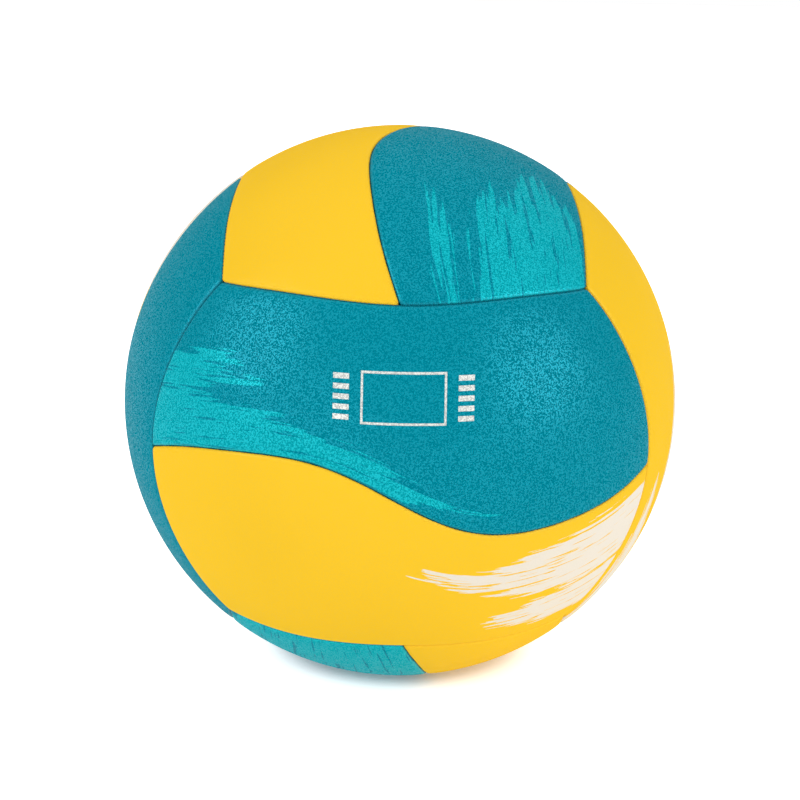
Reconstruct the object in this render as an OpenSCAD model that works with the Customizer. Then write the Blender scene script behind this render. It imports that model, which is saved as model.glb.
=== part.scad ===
// Size 5 volleyball with a stitched cover of twelve panels on an inflated bladder.
// The panels lie in pairs on the six faces of a cube laid over the sphere. The two
// panels of a face meet along an S-shaped seam, and each face is stretched along its
// own S seam into the two faces beside it. The origin is the ball's centre.

/* [Ball] */
// Diameter over the cover
ball_d = 210; // [170:1:250]

/* [Layers] */
// Thickness of the synthetic leather skin
skin_t = 0.6; // [0.4:0.05:0.9]
// Thickness of the foam under the skin
foam_t = 3; // [2:0.1:5]
// Thickness of the cloth lining under the foam
lining_t = 0.4; // [0.2:0.05:0.8]
// Thickness of the glue between two layers
glue_t = 0.1; // [0.05:0.01:0.2]
// Wall thickness of the bladder
bladder_t = 0.5; // [0.3:0.05:1]

/* [Seams] */
// Clear width between the turned-in edges of two panels
seam_w = 0.8; // [0.7:0.05:1.2]
// Width of the hem where a panel's skin is turned in
hem_w = 1.2; // [0.8:0.1:2]
// Width of the bevel along each panel's edge
bevel_w = 1.2; // [0.6:0.1:2]
// Depth of that bevel
bevel_h = 0.8; // [0.4:0.1:1.2]
// How far the middle of a face's end bows into the next face
end_bow = 18.5; // [12:0.5:23]
// How far the S seam swings to each side
seam_swing = 11.9; // [6:0.1:15]
// How much the S seam leans towards its ends
seam_lean = 1.6; // [0:0.1:3]
// How much the S seam's two bends are sharpened
seam_curl = 0.7; // [0:0.1:1.5]
// How far the S seam's ends lie off the middle of the edge they run into
seam_end_shift = 1.7; // [0:0.1:4]

/* [Thread] */
// Width of the thread between two panels
thread_w = 0.6; // [0.45:0.05:0.65]
// Height of the thread along the ball's radius
thread_h = 0.8; // [0.5:0.1:1.2]
// Depth of the thread's top below the cover
thread_depth = 1; // [0.6:0.1:1.6]

/* [Valve] */
// Distance of the valve from its face's middle, along the S seam
valve_along = 17; // [10:1:25]
// Distance of the valve from its face's middle, across the S seam
valve_across = 30; // [26:1:34]
// Radius of the valve's stem
stem_r = 4.5; // [4:0.1:5.5]
// Length of the stem, from the cover inwards
stem_l = 20; // [17:0.5:26]
// Gap between the stem and the hole in the panel
stem_gap = 0.3; // [0.2:0.05:0.5]
// How far the stem's end lies below the cover
stem_sink = 0.4; // [0.2:0.1:1]
// Radius of the flange that holds the valve to the bladder
flange_r = 14; // [10:0.5:18]
// Thickness of the flange
flange_t = 1.2; // [0.8:0.1:2]
// Radius of the self-sealing plug
plug_r = 2.5; // [2.2:0.1:2.8]
// Length of the plug
plug_l = 14; // [13:0.5:15]
// Gap round the plug in the stem
plug_gap = 0.1; // [0.05:0.01:0.15]
// Height of the rib round the plug that keeps it in the stem
rib_h = 0.5; // [0.3:0.05:0.7]
// Length of that rib
rib_l = 1.6; // [1:0.1:2.5]
// Distance of the rib from the plug's outer end
rib_from_top = 4; // [3:0.1:6]
// Radius of the needle bore in the plug
needle_r = 1.1; // [1:0.05:1.3]
// Length of the needle bore below its funnel
needle_l = 8; // [5:0.5:10]
// Radius of the funnel's mouth
funnel_r = 1.9; // [1.5:0.1:2.1]
// Depth of the funnel
funnel_h = 1.3; // [0.8:0.1:2]
// Width of the slit that the needle opens below its bore
slit_w = 0.15; // [0.1:0.01:0.2]
// Length of the slit across the plug
slit_l = 1.8; // [1.4:0.1:1.9]
// Radius of the air duct at the stem's inner end
duct_r = 1; // [0.8:0.1:1.5]

/* [Hidden] */
$fn = 120;
ball_r = ball_d / 2;
// Radii of the layers, from the outside inwards
foam_out_r = ball_r - skin_t - glue_t;
foam_in_r = foam_out_r - foam_t;
lining_out_r = foam_in_r - glue_t;
lining_in_r = lining_out_r - lining_t;
bladder_out_r = lining_in_r - glue_t;
bladder_in_r = bladder_out_r - bladder_t;
flange_out_r = bladder_in_r - glue_t;
flange_in_r = flange_out_r - flange_t;
thread_out_r = ball_r - thread_depth;
thread_in_r = thread_out_r - thread_h;
// Valve heights along its own axis, measured from the ball's centre
stem_top = ball_r - stem_sink;
stem_end = stem_top - stem_l;
plug_top = stem_top - stem_sink;
plug_end = plug_top - plug_l;
rib_top = plug_top - rib_from_top;
needle_top = plug_top - funnel_h;
needle_end = needle_top - needle_l;
// Overrun of every cut past the face that it leaves
over = thread_w;

// Steps along half an edge and along an S seam
half_steps = 8;
seam_steps = 28;
// Angle at the ball's centre from an edge's middle to its corner
corner_angle = atan(sqrt(1 / 2));
// Fullness of the edge's bow between its middle and its corners
bow_shares = [1, -0.35, 0.33];
// Heights of a cutter's middle and of its rim above the ball's centre, as shares of the
// ball's radius, so that its flat facets clear the sphere
cap_share = 2.2;
rim_share = 1.02;

// Panels by face and side; the order follows the turns in panel_turn()
PANELS = [
    "front_upper", "front_lower", "back_upper", "back_lower",
    "bottom_right", "top_right", "top_left", "bottom_left",
    "left_back", "left_front", "right_back", "right_front"
];
TEAL = [0, 0.56, 0.64];
YELLOW = [0.99, 0.8, 0.2];
PANEL_COLORS = [
    TEAL, YELLOW, TEAL, YELLOW,
    YELLOW, TEAL, YELLOW, TEAL,
    YELLOW, TEAL, TEAL, YELLOW
];
// Panel that the valve comes out of
valve_panel = "back_upper";
// Edges, each named by the two faces that meet there
EDGES = [
    "top_front", "bottom_front", "top_back", "bottom_back",
    "right_bottom", "right_top", "left_top", "left_bottom",
    "back_left", "front_left", "back_right", "front_right"
];
// Faces that hold an S seam, with the turn that brings the front face's seam there
SEAMS = ["front", "back", "bottom", "top", "left", "right"];
SEAM_TURNS = [0, 2, 4, 5, 8, 10];

// Angle at the ball's centre for a length along the cover
function arc(len) = len / ball_r * 180 / PI;
function unit(v) = v / norm(v);
function mean(p) = unit([for (v = p) 1] * p);

// The twelve turns that carry the panel layout onto itself: a third of a turn about the
// cube's diagonal taken no, one or two times, then a half turn about no axis, Y, Z or X
HALF_TURNS = [[1, 1, 1], [-1, 1, -1], [-1, -1, 1], [1, -1, -1]];
HALF_ORDER = [0, 1, 2, 3, 0, 3, 1, 2, 0, 3, 1, 2];
function third_turn(v, times) =
    times == 0 ? v : times == 1 ? [v.z, v.x, v.y] : [v.y, v.z, v.x];
function panel_turn(v, i) =
    let (w = third_turn(v, floor(i / 4)), h = HALF_TURNS[HALF_ORDER[i]])
    [w.x * h.x, w.y * h.y, w.z * h.z];

// Direction of a point on the edge between the top and front faces, from the left
// corner at share -1 to the right corner at share 1; the edge bows into the front face
function edge_point(share) =
    let (
        along = share * corner_angle,
        s2 = share * share,
        bow = arc(end_bow) * (1 - s2) * (bow_shares * [1, s2, s2 * s2]),
        out = cos(bow) * cos(along),
        down = sin(bow)
    )
    [
        cos(bow) * sin(along),
        -(out + down) * sqrt(1 / 2),
        (out - down) * sqrt(1 / 2)
    ];

// The two ends of the front face are the same edge, turned
function right_end_point(share) =
    let (v = third_turn(edge_point(share), 2)) [-v.x, -v.y, v.z];
function left_end_point(share) =
    let (v = third_turn(edge_point(share), 2)) [v.x, -v.y, -v.z];
end_share = -arc(seam_end_shift) / corner_angle;

// Direction of a point on the front face's S seam, from its left end at share -1 to its
// right end at share 1
function seam_point(share) =
    let (
        last = right_end_point(end_share),
        lon = share * atan2(last.x, -last.y),
        lat = share * asin(last.z) - arc(seam_swing) * sin(180 * share)
            - arc(seam_lean) * sin(360 * share) - arc(seam_curl) * sin(540 * share)
    )
    [sin(lon) * cos(lat), -cos(lon) * cos(lat), sin(lat)];

// Outline of the upper front panel, as directions, anticlockwise seen from outside
outline = concat(
    [for (k = [0:2 * half_steps - 1]) edge_point(1 - k / half_steps)],
    [for (k = [0:half_steps - 1]) left_end_point(-1 + (1 + end_share) * k / half_steps)],
    [for (k = [0:seam_steps - 1]) seam_point(-1 + 2 * k / seam_steps)],
    [for (k = [0:half_steps - 1])
        right_end_point(end_share + (1 - end_share) * k / half_steps)]
);

// Inward normal of the side from p to q, and a corner moved inwards by an angle
function side_normal(p, q) = unit(cross(p, q));
function moved_in(p, before, after, angle) =
    let (a = side_normal(before, p), b = side_normal(p, after), m = unit(a + b))
    unit(p + m * tan(angle) / (m * b));
function inset(p, angle) =
    let (n = len(p))
    [for (i = [0:n - 1]) moved_in(p[i], p[(i + n - 1) % n], p[(i + 1) % n], angle)];

// Solid cone from the ball's centre through a panel's outline, moved in by "edge" along
// the cover
module panel_cone(i, edge) {
    p = [for (v = outline) panel_turn(v, i)];
    n = len(p);
    polyhedron(
        points = concat(
            [[0, 0, 0], mean(p) * ball_r * cap_share],
            inset(p, arc(edge)) * ball_r * rim_share
        ),
        faces = [for (k = [0:n - 1])
            let (a = 2 + k, b = 2 + (k + 1) % n)
            each [[0, a, b], [1, b, a]]
        ],
        convexity = 6
    );
}

// The same cone for a panel's skin: at the cover its sides lean in along the bevel
module bevelled_cone(i) {
    p = [for (v = outline) panel_turn(v, i)];
    n = len(p);
    rim_r = ball_r * rim_share;
    low = ball_r - bevel_h;
    lean = (rim_r - low) * bevel_w / bevel_h;
    polyhedron(
        points = concat(
            [[0, 0, 0], mean(p) * ball_r * cap_share],
            inset(p, arc(seam_w / 2)) * low,
            inset(p, arc(seam_w / 2 + lean)) * rim_r
        ),
        faces = [for (k = [0:n - 1])
            let (a = 2 + k, b = 2 + (k + 1) % n)
            each [[0, a, b], [a, a + n, b + n], [a, b + n, b], [1, b + n, a + n]]
        ],
        convexity = 6
    );
}

// One layer of a panel between two radii, inside the turned-in hem of its skin
module layer(i, out_r, in_r) {
    difference() {
        intersection() {
            sphere(r = out_r);
            panel_cone(i, seam_w / 2 + hem_w + glue_t);
        }
        sphere(r = in_r);
        if (PANELS[i] == valve_panel)
            valve_hole(stem_r + stem_gap);
    }
}

// Direction of the valve on the back face, with the child's +Z pointing out of the ball
module at_valve() {
    rotate([0, 0, 180])
        rotate([90 - arc(valve_across), 0, arc(valve_along)])
            children();
}
module valve_hole(r) {
    at_valve()
        translate([0, 0, stem_end])
            cylinder(r = r, h = stem_l + stem_sink + over);
}

// Skin with its edge turned in: the hem reaches down to the lining's inner side, and the
// foam and the lining lie inside it
module skin(i) {
    color(PANEL_COLORS[i])
        difference() {
            intersection() {
                sphere(r = ball_r);
                bevelled_cone(i);
            }
            intersection() {
                sphere(r = ball_r - skin_t);
                panel_cone(i, seam_w / 2 + hem_w);
            }
            sphere(r = lining_in_r);
            if (PANELS[i] == valve_panel)
                valve_hole(stem_r + stem_gap);
        }
}

module foam(i) {
    color([0.93, 0.92, 0.88])
        layer(i, foam_out_r, foam_in_r);
}

module lining(i) {
    color([0.82, 0.83, 0.8])
        layer(i, lining_out_r, lining_in_r);
}

// Direction beside point k of a row of directions, by an angle to the left of the row
function beside(path, k, angle) =
    let (before = path[max(k - 1, 0)], after = path[min(k + 1, len(path) - 1)])
    unit(path[k] + tan(angle) * side_normal(before, after));

// Thread along a row of directions, as a band between two radii
module thread(path) {
    n = len(path);
    half = arc(thread_w / 2);
    ring = concat(
        [for (k = [0:n - 1]) beside(path, k, -half)],
        [for (k = [n - 1:-1:0]) beside(path, k, half)]
    );
    m = len(ring);
    color([0.05, 0.2, 0.24])
        difference() {
            intersection() {
                sphere(r = thread_out_r);
                polyhedron(
                    points = concat([[0, 0, 0]], ring * ball_r * rim_share),
                    faces = concat(
                        [for (k = [0:m - 1]) [0, 1 + k, 1 + (k + 1) % m]],
                        [for (k = [0:n - 2]) [m - k, m - k - 1, k + 2]],
                        [for (k = [0:n - 2]) [m - k, k + 2, k + 1]]
                    ),
                    convexity = 6
                );
            }
            sphere(r = thread_in_r);
        }
}

// The thread along an edge stops short of the corner, where three edges meet, and the
// thread along an S seam stops short of the edges that it runs into
edge_thread_share = 1 - arc(2 * thread_w) / corner_angle;
seam_end = right_end_point(end_share);
seam_thread_share = 1 - arc(2 * thread_w) / atan2(seam_end.x, -seam_end.y);
module edge_thread(i) {
    thread([for (k = [-half_steps:half_steps])
        panel_turn(edge_point(edge_thread_share * k / half_steps), i)]);
}
module seam_thread(i) {
    thread([for (k = [0:seam_steps])
        panel_turn(seam_point(seam_thread_share * (2 * k / seam_steps - 1)), i)]);
}

module bladder() {
    color([0.14, 0.14, 0.15])
        difference() {
            sphere(r = bladder_out_r);
            sphere(r = bladder_in_r);
            valve_hole(stem_r + glue_t);
        }
}

// Rubber stem with a flange glued inside the bladder, hollow for the plug
module valve_body() {
    pocket_r = plug_r + plug_gap;
    color([0.2, 0.2, 0.21])
        difference() {
            union() {
                at_valve()
                    translate([0, 0, stem_end])
                        cylinder(r = stem_r, h = stem_l);
                intersection() {
                    difference() {
                        sphere(r = flange_out_r);
                        sphere(r = flange_in_r);
                    }
                    at_valve()
                        cylinder(r = flange_r, h = ball_r);
                }
            }
            at_valve() {
                translate([0, 0, plug_end - plug_gap])
                    cylinder(r = pocket_r, h = stem_l);
                translate([0, 0, rib_top - rib_l - plug_gap])
                    cylinder(r = pocket_r + rib_h, h = rib_l + 2 * plug_gap);
                translate([0, 0, stem_end - over])
                    cylinder(r = duct_r, h = stem_l);
            }
        }
}

// Soft plug that seals round the inflating needle: funnel, needle bore, then a slit
module valve_plug() {
    color([0.1, 0.1, 0.1])
        at_valve()
            difference() {
                union() {
                    translate([0, 0, plug_end])
                        cylinder(r = plug_r, h = plug_l);
                    translate([0, 0, rib_top - rib_l])
                        cylinder(r = plug_r + rib_h, h = rib_l);
                }
                translate([0, 0, needle_end])
                    cylinder(r = needle_r, h = needle_l + funnel_h + over);
                translate([0, 0, needle_top])
                    cylinder(r1 = needle_r, r2 = funnel_r, h = funnel_h);
                translate([-slit_l / 2, -slit_w / 2, plug_end - over])
                    cube([slit_l, slit_w, needle_end - plug_end + over]);
            }
}

for (i = [0:len(PANELS) - 1]) {
    skin(i);
    foam(i);
    lining(i);
    edge_thread(i);
}
for (i = [0:len(SEAMS) - 1])
    seam_thread(SEAM_TURNS[i]);
bladder();
valve_body();
valve_plug();
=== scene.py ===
# Volleyball: a cover of twelve stitched panels, dressed for a product picture
import bpy
import math
from mathutils import Matrix, Vector
from mathutils.kdtree import KDTree


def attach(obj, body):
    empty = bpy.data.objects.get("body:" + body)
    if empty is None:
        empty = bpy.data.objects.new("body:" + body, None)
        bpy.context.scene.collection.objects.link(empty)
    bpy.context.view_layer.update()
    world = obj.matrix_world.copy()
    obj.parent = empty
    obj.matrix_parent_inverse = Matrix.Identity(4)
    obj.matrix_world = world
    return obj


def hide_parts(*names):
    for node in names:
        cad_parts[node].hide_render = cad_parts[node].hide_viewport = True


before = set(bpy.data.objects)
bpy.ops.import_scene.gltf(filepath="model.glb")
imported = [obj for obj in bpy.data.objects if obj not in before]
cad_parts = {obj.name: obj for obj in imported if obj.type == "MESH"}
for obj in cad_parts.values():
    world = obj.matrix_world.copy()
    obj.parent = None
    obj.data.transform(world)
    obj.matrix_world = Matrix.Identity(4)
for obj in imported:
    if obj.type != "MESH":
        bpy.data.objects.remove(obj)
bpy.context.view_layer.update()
bpy.ops.object.select_all(action="DESELECT")
mm = 0.001
print("frame loaded")

# The cover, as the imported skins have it; lengths run along the cover
cover = {
    "radius": 105 * mm,
    "endBow": 18.5 * mm,             # how far a face's end bows into the next face
    "bowShares": (1, -0.35, 0.33),   # fullness of that bow, from its middle to its corners
    "swing": 11.9 * mm,              # how far an S seam swings to each side
    "lean": 1.6 * mm,                # how much it leans towards its ends
    "curl": 0.7 * mm,                # how much its two bends are sharpened
    "endShift": 1.7 * mm,            # its end, off the middle of the edge that it runs into
    "gap": 0.3 * mm,                 # clear width between two panels
    "cornerAngle": math.atan(math.sqrt(0.5)),
}

# Each panel, with the turn that brings the front upper panel there and its colour
panels = {
    "front_upper": (0, "teal"),
    "front_lower": (1, "yellow"),
    "back_upper": (2, "yellow"),
    "back_lower": (3, "teal"),
    "bottom_right": (4, "yellow"),
    "top_right": (5, "teal"),
    "top_left": (6, "yellow"),
    "bottom_left": (7, "teal"),
    "left_back": (8, "yellow"),
    "left_front": (9, "teal"),
    "right_back": (10, "teal"),
    "right_front": (11, "yellow"),
}
# Seams between two faces, in the order of the same turns, and the S seams with their turns
edgeSeams = [
    "top_front", "bottom_front", "top_back", "bottom_back", "right_bottom", "right_top",
    "left_top", "left_bottom", "back_left", "front_left", "back_right", "front_right",
]
acrossSeams = {"front": 0, "back": 2, "bottom": 4, "top": 5, "left": 8, "right": 10}


def arc(length):
    return length / cover["radius"]


def faceTurn(index):
    # a third of a turn about the cube's diagonal, then a half turn about one of its axes
    thirds = [(0, 1, 2), (2, 0, 1), (1, 2, 0)][index // 4]
    half = [0, 1, 2, 3, 0, 3, 1, 2, 0, 3, 1, 2][index]
    signs = [(1, 1, 1), (-1, 1, -1), (-1, -1, 1), (1, -1, -1)][half]
    turn = Matrix.Diagonal((0, 0, 0))
    for row in range(3):
        turn[row][thirds[row]] = signs[row]
    return turn


def edgePoint(share):
    # between the top and front faces, from the left corner at -1 to the right one at 1
    along = share * cover["cornerAngle"]
    squared = share * share
    fullness = sum(s * squared ** k for k, s in enumerate(cover["bowShares"]))
    bow = arc(cover["endBow"]) * (1 - squared) * fullness
    out = math.cos(bow) * math.cos(along)
    down = math.sin(bow)
    half = math.sqrt(0.5)
    return Vector((math.cos(bow) * math.sin(along), -(out + down) * half, (out - down) * half))


def rightEndPoint(share):
    point = edgePoint(share)
    return Vector((-point.y, -point.z, point.x))


def leftEndPoint(share):
    point = edgePoint(share)
    return Vector((point.y, -point.z, -point.x))


endShare = -arc(cover["endShift"]) / cover["cornerAngle"]


def seamPoint(share):
    # the front face's S seam, from its left end at -1 to its right end at 1
    last = rightEndPoint(endShare)
    lon = share * math.atan2(last.x, -last.y)
    turn = math.pi * share
    lat = share * math.asin(last.z) - arc(cover["swing"]) * math.sin(turn)
    lat -= arc(cover["lean"]) * math.sin(2 * turn) + arc(cover["curl"]) * math.sin(3 * turn)
    return Vector((math.sin(lon) * math.cos(lat), -math.cos(lon) * math.cos(lat), math.sin(lat)))


def along(line, share):
    # point on a row of directions
    place = share * (len(line) - 1)
    k = min(int(place), len(line) - 2)
    return line[k].lerp(line[k + 1], place - k)


def insetLoop(loop, angle):
    # closed row of directions, moved to its left by an angle, with mitred corners
    moved = []
    for k, point in enumerate(loop):
        before = loop[k - 1].cross(point).normalized()
        after = point.cross(loop[(k + 1) % len(loop)]).normalized()
        middle = (before + after).normalized()
        moved.append((point + middle * math.tan(angle) / middle.dot(after)).normalized())
    return moved


def roundCorners(loop, corners, reach):
    # each corner becomes a curve that leaves its sides this many points away from it
    rounded = [p.copy() for p in loop]
    for corner in corners:
        before = loop[corner - reach]
        after = loop[(corner + reach) % len(loop)]
        for step in range(-reach, reach + 1):
            t = 0.5 + step / reach / 2
            bend = before * (1 - t) ** 2 + loop[corner] * 2 * t * (1 - t) + after * t ** 2
            rounded[(corner + step) % len(loop)] = bend.normalized()
    return rounded


# One panel's mesh, in the front face's upper half
panelMesh = {
    "length": 152 * mm,
    "height": 56 * mm,
    "sideSteps": 270,                # points along the S seam
    "cornerPoints": 2,               # rounding of a corner, in points along its sides
    "finePoints": 4,                 # steps between two points, to measure from the edge
    "spacing": 1.0 * mm,             # between rows away from the seams
    "border": (0.1, 0.22, 0.4, 0.65, 0.95, 1.3, 1.8, 2.5, 3.4),   # rows by a seam, in mm
    "edgeRadius": 1.1 * mm,          # rounding where the skin is turned in
    "edgeDrop": 0.7 * mm,
    "slopeWidth": 6 * mm,            # shallow slope of the padding towards a seam
    "slopeDrop": 0.25 * mm,
    "hemDepth": 3.2 * mm,            # how deep the skin is turned in
    "hemSteps": 2,
    "skinThickness": 0.6 * mm,
}


def rowPlaces(length):
    border = [b * mm / length for b in panelMesh["border"]]
    inner = round((length - 2 * border[-1] * length) / panelMesh["spacing"])
    middle = [border[-1] + (1 - 2 * border[-1]) * k / inner for k in range(1, inner)]
    return [0] + border + middle + [1 - b for b in reversed(border)] + [1]


def panelSides():
    # bottom, right, top and left side as rows of directions, anticlockwise from outside
    steps = panelMesh["sideSteps"]
    short = steps // 3
    bottom = [seamPoint(-1 + 2 * k / steps) for k in range(steps)]
    right = [rightEndPoint(endShare + (1 - endShare) * k / short) for k in range(short)]
    top = [edgePoint(1 - 2 * k / steps) for k in range(steps)]
    left = [leftEndPoint(-1 + (1 + endShare) * k / short) for k in range(short)]
    return bottom, right, top, left


def seamDrop(distance):
    fold = max(0, 1 - (distance - cover["gap"] / 2) / panelMesh["edgeRadius"])
    slope = max(0, 1 - distance / panelMesh["slopeWidth"])
    rounded = 1 - math.sqrt(max(0, 1 - min(fold, 1) ** 2))
    return panelMesh["edgeDrop"] * rounded + panelMesh["slopeDrop"] * slope ** 2


def makePanel():
    sides = panelSides()
    inner = insetLoop([p for side in sides for p in side], arc(cover["gap"] / 2))
    starts = [sum(len(s) for s in sides[:k]) for k in range(5)]
    inner = roundCorners(inner, starts[:4], panelMesh["cornerPoints"])
    bottom, right, top, left = [
        [inner[k % len(inner)] for k in range(starts[n], starts[n + 1] + 1)] for n in range(4)]
    top.reverse()
    left.reverse()
    # points close together on the panel's edge, to measure how far each vertex is from it
    fine = panelMesh["finePoints"]
    tree = KDTree(len(inner) * fine)
    walked = []
    length = 0
    for k, point in enumerate(inner):
        after = inner[(k + 1) % len(inner)]
        for step in range(fine):
            tree.insert(point.lerp(after, step / fine).normalized(), k * fine + step)
            walked.append(length + (after - point).length * cover["radius"] * step / fine)
        length += (after - point).length * cover["radius"]
    tree.balance()

    acrossPlaces = rowPlaces(panelMesh["length"])
    upPlaces = rowPlaces(panelMesh["height"])
    columns = len(acrossPlaces) - 1
    rows = len(upPlaces) - 1
    bpy.ops.mesh.primitive_grid_add(x_subdivisions=columns, y_subdivisions=rows, size=1)
    panel = bpy.context.object
    mesh = panel.data
    flow = mesh.uv_layers[0]
    flow.name = "flow"
    stitchPlace = mesh.uv_layers.new(name="stitchPlace")
    flowAt = []
    stitchAt = []
    corners = bottom[0], bottom[-1], top[0], top[-1]
    for vertex in mesh.vertices:
        u = acrossPlaces[round((vertex.co.x + 0.5) * columns)]
        v = upPlaces[round((vertex.co.y + 0.5) * rows)]
        point = along(bottom, u) * (1 - v) + along(top, u) * v
        point += along(left, v) * (1 - u) + along(right, v) * u
        point -= (corners[0] * (1 - u) + corners[1] * u) * (1 - v)
        point -= (corners[2] * (1 - u) + corners[3] * u) * v
        point.normalize()
        nearest, index, distance = tree.find(point)
        distance = distance * cover["radius"] + cover["gap"] / 2
        vertex.co = point * (cover["radius"] - seamDrop(distance))
        flowAt.append((u * panelMesh["length"] / mm, v * panelMesh["height"] / mm))
        stitchAt.append((walked[index] / mm, distance / mm))
    for corner in mesh.loops:
        flow.data[corner.index].uv = flowAt[corner.vertex_index]
        stitchPlace.data[corner.index].uv = stitchAt[corner.vertex_index]

    # the skin is turned in along the seams and has its own thickness
    bpy.ops.object.mode_set(mode="EDIT")
    bpy.ops.mesh.select_mode(type="EDGE")
    bpy.ops.mesh.select_all(action="SELECT")
    bpy.ops.mesh.region_to_loop()
    for step in range(panelMesh["hemSteps"]):
        bpy.ops.mesh.extrude_region_move()
        closer = 1 - panelMesh["hemDepth"] / panelMesh["hemSteps"] / cover["radius"]
        bpy.ops.transform.resize(value=(closer, closer, closer), center_override=(0, 0, 0))
    bpy.ops.object.mode_set(mode="OBJECT")
    bpy.ops.object.modifier_add(type="SOLIDIFY")
    skin = panel.modifiers[-1]
    skin.thickness = panelMesh["skinThickness"]
    skin.offset = -1
    bpy.ops.object.modifier_apply(modifier=skin.name)
    bpy.ops.object.shade_smooth()
    return panel


def copyOf(piece, name, turn):
    copy = piece.copy()
    copy.data = piece.data.copy()
    copy.name = name
    bpy.context.scene.collection.objects.link(copy)
    copy.data.transform(turn.to_4x4())
    return copy


firstPanel = makePanel()
skins = {}
for name, (turnIndex, colour) in panels.items():
    skins[name] = copyOf(firstPanel, "panel_" + name, faceTurn(turnIndex))
bpy.data.objects.remove(firstPanel)
print("panels laid out")

# The hole that the valve is reached through
valve = {
    "panel": "back_upper",
    "along": 17 * mm,          # from its face's middle, along the S seam and across it
    "across": 30 * mm,
    "holeRadius": 4.8 * mm,
    "holeSides": 64,
    "punchLength": 12 * mm,
}


def valveDirection():
    lon = arc(valve["along"])
    lat = arc(valve["across"])
    return Vector((-math.sin(lon) * math.cos(lat), math.cos(lon) * math.cos(lat), math.sin(lat)))


def cutValveHole(panel):
    outwards = valveDirection()
    bpy.ops.mesh.primitive_cylinder_add(
        vertices=valve["holeSides"], radius=valve["holeRadius"], depth=valve["punchLength"],
        location=outwards * cover["radius"], rotation=outwards.to_track_quat("Z", "Y").to_euler())
    punch = bpy.context.object
    bpy.context.view_layer.objects.active = panel
    hole = panel.modifiers.new("hole", "BOOLEAN")
    hole.object = punch
    hole.operation = "DIFFERENCE"
    bpy.ops.object.modifier_apply(modifier=hole.name)
    bpy.data.objects.remove(punch)


cutValveHole(skins[valve["panel"]])
print("valve hole cut")

# Thread that shows at the bottom of a seam: it crosses from panel to panel at each stitch
thread = {
    "radius": 0.17 * mm,
    "swing": 0.05 * mm,
    "depth": 0.9 * mm,        # below the cover
    "rise": 0.1 * mm,
    "stitch": 3 * mm,
    "steps": 8,               # points to a stitch
    "lineSteps": 120,         # points to a seam's own line
    "endGap": 0.9 * mm,       # from the thread's end to the seam that it runs into
}


def makeThread(name, points, turn):
    # a round thread swept along the seam, swinging from side to side
    length = sum((b - a).length for a, b in zip(points, points[1:])) * cover["radius"]
    stitches = round(length / thread["stitch"])
    count = stitches * thread["steps"]
    curve = bpy.data.curves.new(name, "CURVE")
    curve.dimensions = "3D"
    curve.bevel_depth = thread["radius"]
    curve.bevel_resolution = 1
    curve.use_fill_caps = True
    spline = curve.splines.new("POLY")
    spline.points.add(count)
    near = 0.001
    for k in range(count + 1):
        share = k / count
        here = along(points, share)
        ahead = along(points, min(share + near, 1)) - along(points, max(share - near, 0))
        beside = here.cross(ahead).normalized()
        phase = 2 * math.pi * k / thread["steps"]
        height = cover["radius"] - thread["depth"] + thread["rise"] * math.cos(2 * phase)
        spot = here.normalized() * height + beside * thread["swing"] * math.sin(phase)
        spline.points[k].co = (turn @ spot).to_4d()
    piece = bpy.data.objects.new(name, curve)
    bpy.context.scene.collection.objects.link(piece)
    bpy.ops.object.select_all(action="DESELECT")
    piece.select_set(True)
    bpy.context.view_layer.objects.active = piece
    bpy.ops.object.convert(target="MESH")
    bpy.ops.object.shade_smooth()
    return bpy.context.object


def seamLine(pointAt):
    # the seam's line, stopped short of where it meets the next seam
    steps = thread["lineSteps"]
    whole = [pointAt(-1 + 2 * k / steps) for k in range(steps + 1)]
    length = sum((b - a).length for a, b in zip(whole, whole[1:])) * cover["radius"]
    end = 1 - 2 * thread["endGap"] / length
    return [pointAt((-1 + 2 * k / steps) * end) for k in range(steps + 1)]


threads = {}
for index, name in enumerate(edgeSeams):
    line = seamLine(edgePoint)
    threads["thread_" + name] = makeThread("seam_thread_" + name, line, faceTurn(index))
for name, index in acrossSeams.items():
    line = seamLine(seamPoint)
    threads["thread_across_" + name] = makeThread("seam_thread_across_" + name, line, faceTurn(index))
print("seams threaded")


def tone(red, green, blue):
    # a colour picked from a picture, as the light value that shows it
    def linear(part):
        part /= 255
        return part / 12.92 if part <= 0.04045 else ((part + 0.055) / 1.055) ** 2.4
    return (linear(red), linear(green), linear(blue), 1)


def newGroup(name, inputs, outputs):
    tree = bpy.data.node_groups.new(name, "ShaderNodeTree")
    for label, kind, value in inputs:
        socket = tree.interface.new_socket(label, in_out="INPUT", socket_type="NodeSocket" + kind)
        if value is not None:
            socket.default_value = value
    for label, kind in outputs:
        tree.interface.new_socket(label, in_out="OUTPUT", socket_type="NodeSocket" + kind)
    start = tree.nodes.new("NodeGroupInput")
    end = tree.nodes.new("NodeGroupOutput")
    return tree, start.outputs, end.inputs


def fill(tree, node, sockets):
    # values or links for a node's inputs
    for key, value in sockets.items():
        if isinstance(value, bpy.types.NodeSocket):
            tree.links.new(value, node.inputs[key])
        else:
            node.inputs[key].default_value = value


def add(tree, kind, sockets=None, **settings):
    # a node with its settings and its inputs
    node = tree.nodes.new("ShaderNode" + kind)
    for key, value in settings.items():
        setattr(node, key, value)
    fill(tree, node, sockets or {})
    return node


def calc(tree, operation, first, second=None, third=None, clamped=False):
    sockets = {0: first}
    if second is not None:
        sockets[1] = second
    if third is not None:
        sockets[2] = third
    return add(tree, "Math", sockets, operation=operation, use_clamp=clamped).outputs[0]


def smoothed(tree, value, low, high):
    return add(tree, "MapRange", {"Value": value, "From Min": low, "From Max": high},
               interpolation_type="SMOOTHSTEP").outputs[0]


def noise(tree, vector, scale, detail):
    return add(tree, "TexNoise", {"Vector": vector, "Scale": scale, "Detail": detail}).outputs["Fac"]


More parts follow.
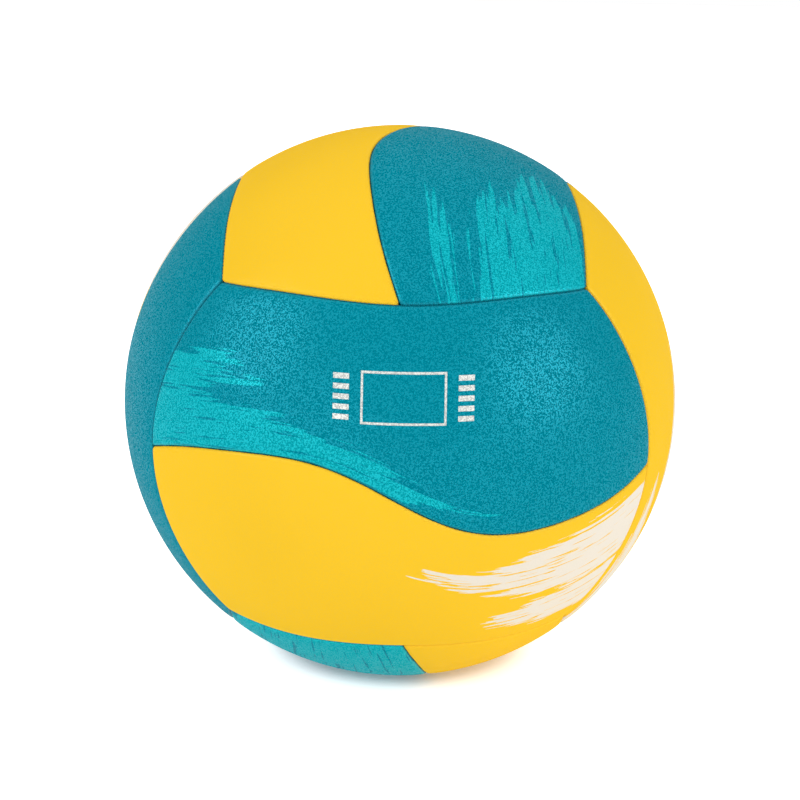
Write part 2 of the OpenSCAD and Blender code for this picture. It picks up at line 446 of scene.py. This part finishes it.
def blend(tree, factor, under, upper):
    mixed = add(tree, "Mix", {"Factor": factor, "A": under, "B": upper}, data_type="RGBA")
    return mixed.outputs["Result"]


# Fine wormy grain of the synthetic leather
worms = {
    "scale": 1.7,             # of the noise, at a grain size of 1
    "detail": 0.4,
    "levels": (0.43, 0.57),   # of the noise, in the valleys and on the tops
}


def makeGrainGroup():
    tree, given, result = newGroup(
        "wormGrain", [("Vector", "Vector", None), ("Size", "Float", 1 * mm)],
        [("Height", "Float"), ("Valley", "Float")])
    scale = calc(tree, "DIVIDE", worms["scale"], given["Size"])
    height = smoothed(tree, noise(tree, given["Vector"], scale, worms["detail"]), *worms["levels"])
    tree.links.new(height, result["Height"])
    tree.links.new(calc(tree, "SUBTRACT", 1, height), result["Valley"])
    return tree


# One stroke of a dry brush along a panel: solid at its start, streaks at its tail. Its travel
# goes from 0 at the start to 1 at the end, and its level is 0 on the stroke's edge
brush = {
    "broad": (0.035, 0.16),       # waves of the edge, per mm along and across the stroke
    "hairs": (0.05, 0.85),        # marks of single bristles, per mm
    "broadDetail": 1,
    "hairDetail": 2.5,
    "hairRoughness": 0.6,
    "broadShare": 0.7,
    "hairShare": 1.1,
    "halfWay": 0.9,               # mean of the two shares' sum
    "opening": (-0.08, 0.08),     # travel over which the stroke widens
    "tail": (0.3, 1.15),          # travel over which it narrows
    "steepness": 3,               # width gained and lost there, in stroke widths
    "streaks": (1.5, 4.5),        # raggedness at the start and at the end
    "dry": (0.34, 0.16),          # bristles that ran dry at the start, and more at the end
    "dryEdge": (-0.01, 0.02),
    "softEdge": 0.2,              # in mm
}


def makeStrokeGroup():
    tree, given, result = newGroup(
        "dryBrushStroke",
        [("Flow", "Vector", None), ("Start", "Float", 10), ("End", "Float", 90),
         ("Line", "Float", 20), ("Rise", "Float", 0), ("Bend", "Float", 0), ("Width", "Float", 5),
         ("Ragged", "Float", 4), ("Seed", "Float", 0)],
        [("Mask", "Float")])
    at = add(tree, "SeparateXYZ", {0: given["Flow"]}).outputs
    travel = add(tree, "MapRange", {"Value": at["X"], "From Min": given["Start"],
                                    "From Max": given["End"]}, clamp=False).outputs[0]
    bent = calc(tree, "MULTIPLY", given["Bend"], calc(tree, "MULTIPLY", travel, travel))
    straight = calc(tree, "MULTIPLY_ADD", given["Rise"], travel, given["Line"])
    beside = calc(tree, "SUBTRACT", at["Y"], calc(tree, "ADD", straight, bent))

    def stretched(perMm):
        return add(tree, "CombineXYZ", {"X": calc(tree, "MULTIPLY", at["X"], perMm[0]),
                                        "Y": calc(tree, "MULTIPLY", beside, perMm[1]),
                                        "Z": given["Seed"]}).outputs[0]

    broad = noise(tree, stretched(brush["broad"]), 1, brush["broadDetail"])
    hairs = add(tree, "TexNoise", {
        "Vector": stretched(brush["hairs"]), "Scale": 1, "Detail": brush["hairDetail"],
        "Roughness": brush["hairRoughness"]}).outputs["Fac"]
    rough = calc(tree, "ADD", calc(tree, "MULTIPLY", broad, brush["broadShare"]),
                 calc(tree, "MULTIPLY", hairs, brush["hairShare"]))
    rough = calc(tree, "SUBTRACT", rough, brush["halfWay"])
    opening = calc(tree, "MULTIPLY", smoothed(tree, travel, *brush["opening"]), brush["steepness"])
    tail = calc(tree, "MULTIPLY", smoothed(tree, travel, *brush["tail"]), brush["steepness"])
    fullness = calc(tree, "SUBTRACT", opening, brush["steepness"] - 1)
    fullness = calc(tree, "SUBTRACT", fullness, tail)
    reach = calc(tree, "MULTIPLY", given["Width"], fullness)
    streaks = add(tree, "MapRange", {"Value": travel, "To Min": brush["streaks"][0],
                                     "To Max": brush["streaks"][1]}).outputs[0]
    ragged = calc(tree, "MULTIPLY", rough, given["Ragged"])
    spread = calc(tree, "MULTIPLY_ADD", ragged, streaks, reach)
    level = calc(tree, "SUBTRACT", spread, calc(tree, "ABSOLUTE", beside))
    # bristles that ran dry leave gaps, more of them towards the tail
    dry = calc(tree, "MULTIPLY_ADD", travel, brush["dry"][1], brush["dry"][0])
    paint = smoothed(tree, calc(tree, "SUBTRACT", hairs, dry), *brush["dryEdge"])
    mask = calc(tree, "MULTIPLY", smoothed(tree, level, 0, brush["softEdge"]), paint)
    tree.links.new(mask, result["Mask"])
    return tree


# Shade, smooth rolled edge and puckers beside a seam. Each is full at its first distance
# from the seam's middle and gone at its second, in mm
seamSide = {
    "shade": (0.15, 0.55),
    "rolled": (0.6, 1.4),
    "pucker": (0.4, 1.6),
}


def makeSeamGroup():
    tree, given, result = newGroup(
        "seamEdge", [("Place", "Vector", None), ("Stitch", "Float", 3)],
        [("Shade", "Float"), ("Rolled", "Float"), ("Pucker", "Float")])
    at = add(tree, "SeparateXYZ", {0: given["Place"]}).outputs
    full, gone = seamSide["shade"]
    shade = add(tree, "MapRange", {"Value": at["Y"], "From Min": full, "From Max": gone,
                                   "To Min": 1, "To Max": 0}).outputs[0]
    full, gone = seamSide["rolled"]
    rolled = smoothed(tree, at["Y"], gone, full)
    full, gone = seamSide["pucker"]
    fade = smoothed(tree, at["Y"], gone, full)
    phase = calc(tree, "MULTIPLY", calc(tree, "DIVIDE", at["X"], given["Stitch"]), 2 * math.pi)
    wave = calc(tree, "MULTIPLY_ADD", calc(tree, "SINE", phase), 0.5, 0.5)
    tree.links.new(shade, result["Shade"])
    tree.links.new(rolled, result["Rolled"])
    tree.links.new(calc(tree, "MULTIPLY", wave, fade), result["Pucker"])
    return tree


# Plain printed block: an empty frame between two columns of short bars, flat on to one side.
# All in mm
printed = {
    "middle": (0, 33.5),      # across and up, from the ball's middle
    "frame": (13, 7.5),       # half width and height
    "line": 0.7,
    "columns": 19.5,          # each column's distance from the middle
    "bar": (5, 1.6),
    "bars": 5,                # in a column
    "pitch": 3,
    "softEdge": 0.08,
}


def makePrintGroup():
    tree, given, result = newGroup("printedBlock", [("Vector", "Vector", None)], [("Mask", "Float")])

    def within(distance, width):
        soft = printed["softEdge"]
        return smoothed(tree, distance, width / 2 + soft, width / 2 - soft)

    at = add(tree, "SeparateXYZ", {0: given["Vector"]}).outputs
    x = calc(tree, "ABSOLUTE", calc(tree, "MULTIPLY_ADD", at["X"], 1 / mm, -printed["middle"][0]))
    z = calc(tree, "MULTIPLY_ADD", at["Z"], 1 / mm, -printed["middle"][1])
    high = calc(tree, "ABSOLUTE", z)
    outside = calc(tree, "MAXIMUM", calc(tree, "SUBTRACT", x, printed["frame"][0]),
                   calc(tree, "SUBTRACT", high, printed["frame"][1]))
    frameMask = within(calc(tree, "ABSOLUTE", outside), printed["line"])
    fromColumn = calc(tree, "ABSOLUTE", calc(tree, "SUBTRACT", x, printed["columns"]))
    fromBar = calc(tree, "PINGPONG", z, printed["pitch"] / 2)
    bars = calc(tree, "MULTIPLY", within(fromColumn, printed["bar"][0]),
                within(fromBar, printed["bar"][1]))
    rows = calc(tree, "LESS_THAN", high, printed["bars"] / 2 * printed["pitch"])
    bars = calc(tree, "MULTIPLY", bars, rows)
    tree.links.new(calc(tree, "MAXIMUM", frameMask, bars), result["Mask"])
    return tree


groups = {
    "grain": makeGrainGroup(),
    "stroke": makeStrokeGroup(),
    "seam": makeSeamGroup(),
    "print": makePrintGroup(),
}


def addGroup(tree, group, sockets):
    node = tree.nodes.new("ShaderNodeGroup")
    node.node_tree = groups[group]
    fill(tree, node, sockets)
    return node.outputs


def newMaterial(name):
    material = bpy.data.materials.new(name)
    material.use_nodes = True
    shader = material.node_tree.nodes["Principled BSDF"]
    return material, material.node_tree, shader


def addBump(tree, shader, height, depth, under=None):
    sockets = {"Height": height, "Distance": depth, "Strength": 1}
    if under is not None:
        sockets["Normal"] = under
    bump = add(tree, "Bump", sockets)
    tree.links.new(bump.outputs[0], shader.inputs["Normal"])


leather = {
    "teal": tone(0, 147, 167),
    "yellow": tone(253, 203, 46),
    "turquoise": tone(10, 184, 196),
    "cream": tone(240, 231, 216),
    "print": tone(236, 236, 230),
    # the two seam tones are painted shade, in the grain's valleys and on the rounded edge beside the
    # seams
    "seamTeal": tone(0, 62, 80),
    "seamYellow": tone(232, 176, 34),
    "patchScale": 14,             # slight unevenness of the dye, per metre
    "patchLevels": (0.3, 0.7),
    "patchShade": 0.97,
    "grainSize": 0.92 * mm,
    "grainDepth": {"teal": 0.03 * mm, "yellow": 0.005 * mm},
    "valleys": {"teal": 0.3, "yellow": 0.01},     # how much painted shade darkens the valleys of the grain
    "pearl": {"teal": 0.18, "yellow": 0.02},
    "wear": 1,                    # how far the gloss is gone from the valleys
    "roughness": 0.25,
    "coat": 0.065,
    "coatRoughness": 0.3,
    "coatIor": 2,
    "edgeShade": {"teal": 0.4, "yellow": 0.3},
    "puckerDepth": 0.1 * mm,
}

# Strokes on each panel: start, end, line, rise, bend, width and raggedness, in mm along and
# across the panel
strokes = {
    "front_upper": [(-14, 104, 9, -1, 0, 10, 5), (-10, 72, 27, -4, 0, 6.5, 5),
                    (30, 118, 4, 2, 0, 4, 5)],
    "front_lower": [(-14, 112, 16, 5, 0, 12, 5), (-10, 84, 38, 4, 0, 8, 5)],
    "back_upper": [(20, 130, 14, 0, 6, 10, 5), (40, 120, 34, 0, 4, 5, 5)],
    "back_lower": [(-10, 100, 14, 6, 0, 10, 5), (-14, 80, 36, 4, 0, 7, 5)],
    "top_right": [(168, 56, 46, -8, 0, 11, 5), (172, 84, 28, 2, 0, 7, 5),
                  (160, 100, 14, 2, 0, 3, 4)],
    "bottom_left": [(172, 30, 14, 8, 0, 15, 5), (176, 60, 40, 6, 0, 13, 5)],
    "left_back": [(164, 30, 8, 8, 0, 12, 5)],
    "right_back": [(-12, 116, 20, 4, 0, 11, 5), (-10, 80, 42, 4, 0, 6, 5)],
    "right_front": [(-14, 108, 44, -4, 0, 9, 5), (46, 130, 26, -4, 0, 4.5, 5)],
}
strokeLabels = ("Start", "End", "Line", "Rise", "Bend", "Width", "Ragged")
panelSeed = 3.7
strokeSeed = 1.3


def leatherMaterial(name, colour):
    material, tree, shader = newMaterial("leather_" + name)
    object3d = add(tree, "TexCoord").outputs["Object"]
    flow = add(tree, "UVMap", uv_map="flow").outputs[0]
    stitchPlace = add(tree, "UVMap", uv_map="stitchPlace").outputs[0]
    grain = addGroup(tree, "grain", {"Vector": object3d, "Size": leather["grainSize"]})
    seam = addGroup(tree, "seam", {"Place": stitchPlace, "Stitch": thread["stitch"] / mm})

    patches = noise(tree, object3d, leather["patchScale"], 1)
    base = leather[colour]
    darker = [part * leather["patchShade"] for part in base[:3]] + [1]
    now = blend(tree, smoothed(tree, patches, *leather["patchLevels"]), base, darker)
    paint = leather["turquoise" if colour == "teal" else "cream"]
    for number, values in enumerate(strokes.get(name, [])):
        seed = panels[name][0] * panelSeed + number * strokeSeed
        sockets = dict(zip(strokeLabels, values), Flow=flow, Seed=seed)
        now = blend(tree, addGroup(tree, "stroke", sockets)["Mask"], now, paint)
    if name == "front_upper":
        now = blend(tree, addGroup(tree, "print", {"Vector": object3d})["Mask"], now, leather["print"])
    paintedShadeTone = leather["seam" + colour.title()]
    # painted shade in the grain's valleys, in the shade tone
    valleyPaintedShade = calc(tree, "MULTIPLY", grain["Valley"], leather["valleys"][colour])
    now = blend(tree, valleyPaintedShade, now, paintedShadeTone)
    # painted shade on the rounded edge beside each seam, darkest next to the groove
    edgeShade = calc(tree, "MULTIPLY", seam["Shade"], leather["edgeShade"][colour])
    now = blend(tree, edgeShade, now, paintedShadeTone)
    tree.links.new(now, shader.inputs["Base Color"])

    # the pearly finish glints in the panel's own colour; it is worn off in the grain's valleys
    pits = calc(tree, "SUBTRACT", grain["Valley"], seam["Rolled"], clamped=True)
    kept = calc(tree, "MULTIPLY_ADD", pits, -leather["wear"], 1)
    pearl = calc(tree, "MULTIPLY", kept, leather["pearl"][colour])
    tree.links.new(pearl, shader.inputs["Metallic"])
    shader.inputs["Roughness"].default_value = leather["roughness"]
    shader.inputs["Specular IOR Level"].default_value = 0
    coat = calc(tree, "MULTIPLY", kept, leather["coat"])
    tree.links.new(coat, shader.inputs["Coat Weight"])
    shader.inputs["Coat Roughness"].default_value = leather["coatRoughness"]
    shader.inputs["Coat IOR"].default_value = leather["coatIor"]

    pucker = add(tree, "Bump", {"Height": seam["Pucker"], "Distance": -leather["puckerDepth"],
                                "Strength": 1}).outputs[0]
    height = calc(tree, "MULTIPLY", grain["Height"], calc(tree, "SUBTRACT", 1, seam["Rolled"]))
    addBump(tree, shader, height, leather["grainDepth"][colour], pucker)
    return material


def dress(piece, material):
    piece.data.materials.clear()
    piece.data.materials.append(material)


for name, (turnIndex, colour) in panels.items():
    dress(skins[name], leatherMaterial(name, colour))
    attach(skins[name], "root")
    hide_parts("skin_" + name)
print("panels dressed")

# Twisted fibres of the thread
fibre = {
    "scale": 5200,
    "depth": 0.03 * mm,
    "roughness": 0.7,
    "specular": 0.1,
}


def threadMaterial(name, dark, light):
    material, tree, shader = newMaterial(name)
    object3d = add(tree, "TexCoord").outputs["Object"]
    fibres = noise(tree, object3d, fibre["scale"], 2)
    tree.links.new(blend(tree, fibres, dark, light), shader.inputs["Base Color"])
    shader.inputs["Roughness"].default_value = fibre["roughness"]
    shader.inputs["Specular IOR Level"].default_value = fibre["specular"]
    addBump(tree, shader, fibres, fibre["depth"])
    return material


darkThread = threadMaterial("dark_thread", tone(2, 60, 68), tone(6, 84, 92))
tealThread = threadMaterial("teal_thread", tone(0, 104, 120), tone(4, 126, 142))
paleThread = threadMaterial("yellow_thread", tone(226, 172, 34), tone(240, 190, 44))
yellowSeams = ("bottom_front", "top_back", "right_bottom", "left_top", "back_left", "front_right")
for node, piece in threads.items():
    edgeThread = paleThread if node.removeprefix("thread_") in yellowSeams else tealThread
    dress(piece, darkThread if "across" in node else edgeThread)
    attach(piece, "root")
    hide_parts(node)
print("threads dressed")

# Open cells of the foam
foam = {
    "wall": tone(240, 238, 228),
    "pore": tone(206, 203, 190),
    "cellScale": 2600,
    "cellDepth": 0.1 * mm,
    "roughness": 0.9,
}


def foamMaterial():
    material, tree, shader = newMaterial("foam_cells")
    object3d = add(tree, "TexCoord").outputs["Object"]
    cells = add(tree, "TexVoronoi", {"Vector": object3d, "Scale": foam["cellScale"]},
                feature="SMOOTH_F1").outputs["Distance"]
    tree.links.new(blend(tree, cells, foam["wall"], foam["pore"]), shader.inputs["Base Color"])
    shader.inputs["Roughness"].default_value = foam["roughness"]
    addBump(tree, shader, cells, -foam["cellDepth"])
    return material


# Plain weave of the lining, as two rows of waves that cross
cloth = {
    "low": tone(188, 190, 184),
    "high": tone(224, 225, 220),
    "weaveScale": 420,
    "weaveDepth": 0.1 * mm,
    "roughness": 0.85,
}


def clothMaterial():
    material, tree, shader = newMaterial("lining_cloth")
    object3d = add(tree, "TexCoord").outputs["Object"]
    warp, weft = [
        add(tree, "TexWave", {"Vector": object3d, "Scale": cloth["weaveScale"]},
            bands_direction=direction).outputs["Fac"] for direction in ("DIAGONAL", "Z")]
    weave = calc(tree, "MULTIPLY", warp, weft)
    tree.links.new(blend(tree, weave, cloth["low"], cloth["high"]), shader.inputs["Base Color"])
    shader.inputs["Roughness"].default_value = cloth["roughness"]
    addBump(tree, shader, weave, cloth["weaveDepth"])
    return material


# Moulded rubber with a trace of the talc that it was packed in
rubber = {
    "talcScale": 160,
    "talcLevels": (0.5, 0.75),
    "talcRoughness": 0.2,     # added where the talc lies
    "fineScale": 2400,
    "fineDepth": 0.02 * mm,
}


def rubberMaterial(name, dark, light, roughness):
    material, tree, shader = newMaterial(name)
    object3d = add(tree, "TexCoord").outputs["Object"]
    talc = smoothed(tree, noise(tree, object3d, rubber["talcScale"], 3), *rubber["talcLevels"])
    tree.links.new(blend(tree, talc, dark, light), shader.inputs["Base Color"])
    dull = calc(tree, "MULTIPLY_ADD", talc, rubber["talcRoughness"], roughness)
    tree.links.new(dull, shader.inputs["Roughness"])
    addBump(tree, shader, noise(tree, object3d, rubber["fineScale"], 2), rubber["fineDepth"])
    return material


innerFinish = {
    "foam": foamMaterial(),
    "lining": clothMaterial(),
    "bladder": rubberMaterial("bladder_rubber", tone(30, 30, 32), tone(70, 70, 72), 0.55),
    "valve_body": rubberMaterial("valve_body_rubber", tone(44, 44, 46), tone(74, 74, 76), 0.5),
    "valve_plug": rubberMaterial("valve_plug_rubber", tone(22, 22, 24), tone(44, 44, 46), 0.45),
}
for name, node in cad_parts.items():
    for start, material in innerFinish.items():
        if name.startswith(start):
            dress(node, material)
print("inner pieces dressed")

# Floor, light and camera
studio = {
    "floorSize": 24,
    "floorTone": (0.95, 0.95, 0.95, 1),
    "floorRoughness": 0.9,
    "glowWithPaintedShadow": (0.07, 0.76),            # low under the ball for a painted shadow, and all round it
    "paintedShadowEdges": (29 * mm, 42 * mm),      # from the painted shadow's middle, where the glow starts and is full
    "shadowShape": (0.72, 1, 1),          # painted shadow drawn out along x
    "shadowShift": (-1 * mm, 0, 0),
    "glowLightFromBelow": 0.13,                  # share of the glow that lights the ball from below, painted light from the glowing floor
    "worldStrength": 0.3,
    "distance": 4.778,                    # camera's, in ball radii
    "lens": 57.89,
    "turns": (1.207, 18.47, 0.663),       # camera's roll, height and side angle, in degrees
}
white = (1, 1, 1, 1)

# Soft lights: the side that each comes from, its width in degrees and its strength
softLights = {
    "left_softbox": ((-0.82, -0.3, 0.48), 36, 1.1),
    "right_softbox": ((0.8, -0.46, 0.39), 38, 0.95),
    "left_fill": ((-0.64, -0.76, -0.09), 60, 0.87),
    "right_fill": ((0.85, -0.5, -0.05), 60, 0.9),
    "top_fill": ((0, 0.2, 1), 90, 0.76),
}


def seenDirectly(tree):
    # 1 for rays that show the background itself, 0 for rays that only carry its light
    rays = add(tree, "LightPath").outputs
    seen = calc(tree, "MAXIMUM", rays["Is Camera Ray"], rays["Is Glossy Ray"])
    return calc(tree, "MAXIMUM", seen, rays["Is Transmission Ray"])


def makeFloor():
    bpy.ops.mesh.primitive_plane_add(size=studio["floorSize"], location=(0, 0, -cover["radius"]))
    floor = bpy.context.object
    floor.name = "floor"
    material, tree, shader = newMaterial("floor_white")
    shader.inputs["Base Color"].default_value = studio["floorTone"]
    shader.inputs["Roughness"].default_value = studio["floorRoughness"]
    shader.inputs["Specular IOR Level"].default_value = 0
    # diffuse rays see part of the glow too, so the glowing floor lights the ball from below as painted
    # light
    seen = calc(tree, "MAXIMUM", seenDirectly(tree), studio["glowLightFromBelow"])
    # the glow is low under the ball: a painted shadow, added to the shadow that the ball casts
    object3d = add(tree, "TexCoord").outputs["Object"]
    around = add(tree, "VectorMath", {0: object3d, 1: studio["shadowShape"], 2: studio["shadowShift"]},
                 operation="MULTIPLY_ADD")
    away = add(tree, "VectorMath", {0: around.outputs[0]}, operation="LENGTH")
    low, high = studio["glowWithPaintedShadow"]
    near, far = studio["paintedShadowEdges"]
    glowAroundPaintedShadow = add(tree, "MapRange", {"Value": away.outputs["Value"], "From Min": near, "From Max": far,
                                  "To Min": low, "To Max": high}, interpolation_type="SMOOTHSTEP")
    shader.inputs["Emission Color"].default_value = white
    tree.links.new(calc(tree, "MULTIPLY", seen, glowAroundPaintedShadow.outputs[0]), shader.inputs["Emission Strength"])
    dress(floor, material)


def makeWorld():
    world = bpy.data.worlds.new("studio")
    bpy.context.scene.world = world
    world.use_nodes = True
    tree = world.node_tree
    back = tree.nodes["Background"]
    back.inputs["Color"].default_value = white
    strength = add(tree, "MapRange", {"Value": seenDirectly(tree), "To Min": studio["worldStrength"],
                                      "To Max": 1}).outputs[0]
    tree.links.new(strength, back.inputs["Strength"])


def addSoftLight(name, towards, spread, strength):
    bpy.ops.object.light_add(type="SUN", location=towards)
    lamp = bpy.context.object
    lamp.name = name
    lamp.data.angle = math.radians(spread)
    lamp.data.energy = strength
    lamp.rotation_euler = Vector(towards).to_track_quat("Z", "Y").to_euler()


def makeCamera():
    roll, height, side = [math.radians(a) for a in studio["turns"]]
    turn = Matrix.Rotation(roll, 3, "Y") @ Matrix.Rotation(height, 3, "X")
    turn = turn @ Matrix.Rotation(side, 3, "Z")
    toBall = turn.transposed()
    right, away, up = [toBall @ Vector(v) for v in ((1, 0, 0), (0, 1, 0), (0, 0, 1))]
    spot = -away * studio["distance"] * cover["radius"]
    bpy.ops.object.camera_add(location=spot)
    camera = bpy.context.object
    camera.rotation_euler = Matrix((right, up, -away)).transposed().to_euler()
    camera.data.lens = studio["lens"]
    bpy.context.scene.camera = camera


makeFloor()
makeWorld()
for name, values in softLights.items():
    addSoftLight(name, *values)
makeCamera()
bpy.context.scene.view_settings.view_transform = "Standard"
print("studio set")
